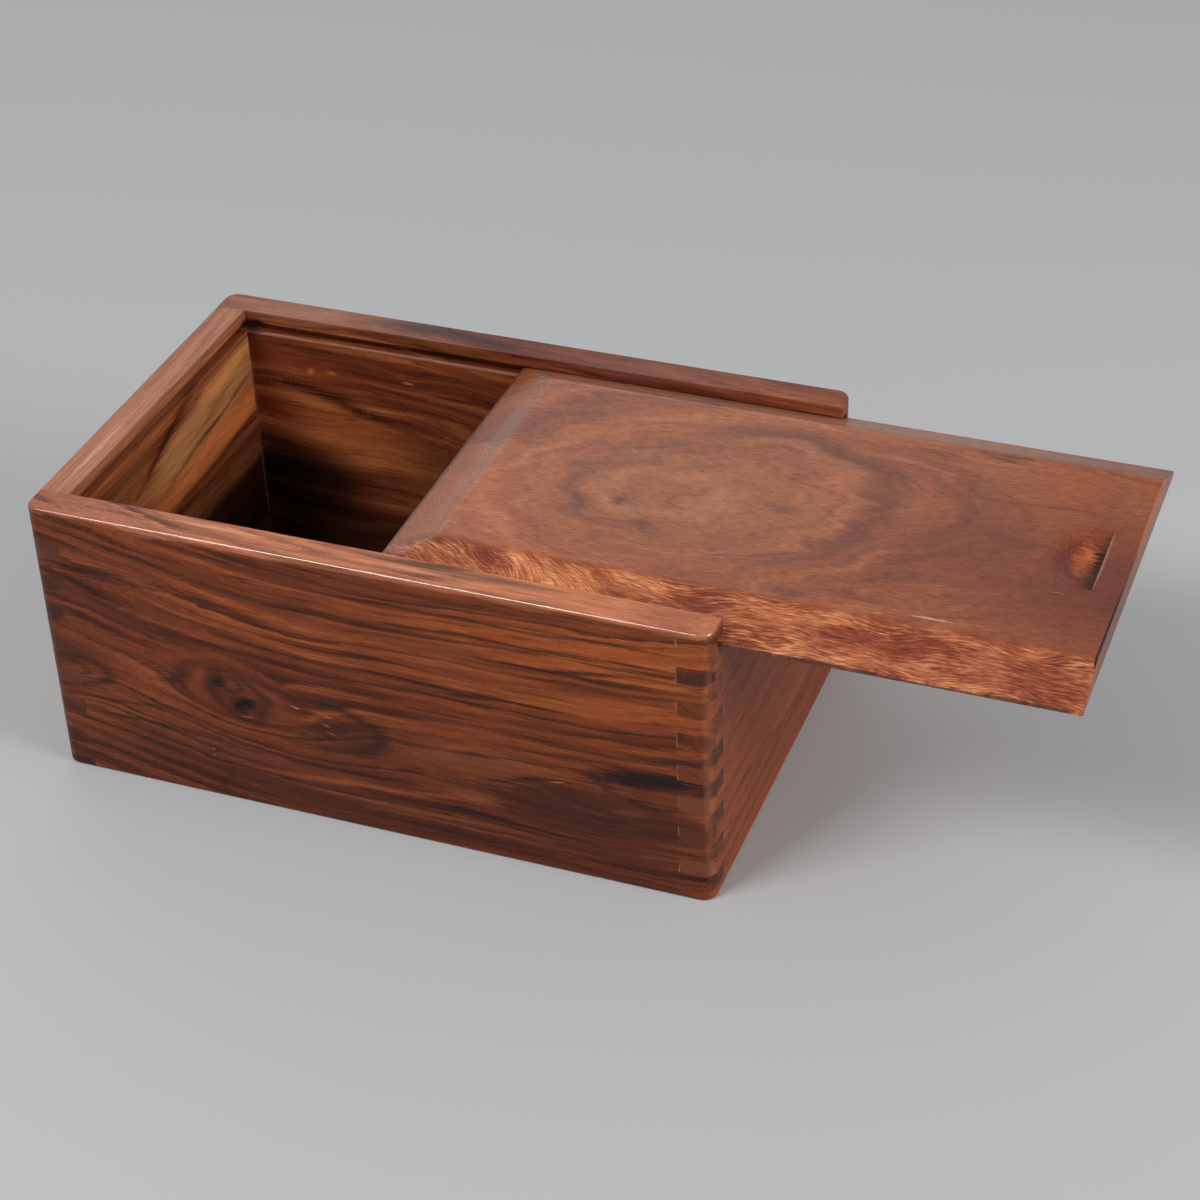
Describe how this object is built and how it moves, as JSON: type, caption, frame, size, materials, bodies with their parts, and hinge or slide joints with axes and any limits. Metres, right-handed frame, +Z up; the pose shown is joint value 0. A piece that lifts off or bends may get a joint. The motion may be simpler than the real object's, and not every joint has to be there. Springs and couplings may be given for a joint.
{
  "type": "sliding lid wooden box",
  "caption": "Box-jointed wooden keepsake box with a raised-field lid that slides out along grooves and has a half-moon thumb notch.",
  "frame": {"origin": "bottom centre of the whole object at rest, with its lid 106 mm open, on the surface that the box stands on", "axes": "+X from the closed end to the open end, the way the lid slides out; +Y from the front board to the back board; +Z up"},
  "size_m": [0.33, 0.143, 0.1008],
  "materials": {
    "side_wood": "satin, oiled rosewood",
    "end_wood": "satin, oiled rosewood",
    "panel_wood": "satin, oiled rosewood",
    "lid_wood": "satin, oiled rosewood"
  },
  "bodies": {
    "box": {"front_board": "side_wood", "back_board": "side_wood", "left_end_board": "end_wood", "right_end_board": "end_wood", "bottom_panel": "panel_wood"},
    "lid": {"lid_panel": "lid_wood"}
  },
  "joints": [
    {"name": "lid_slide", "type": "slide", "parent": "box", "child": "lid", "axis": [1, 0, 0], "range_m": [-0.106, 0.112]}
  ]
}
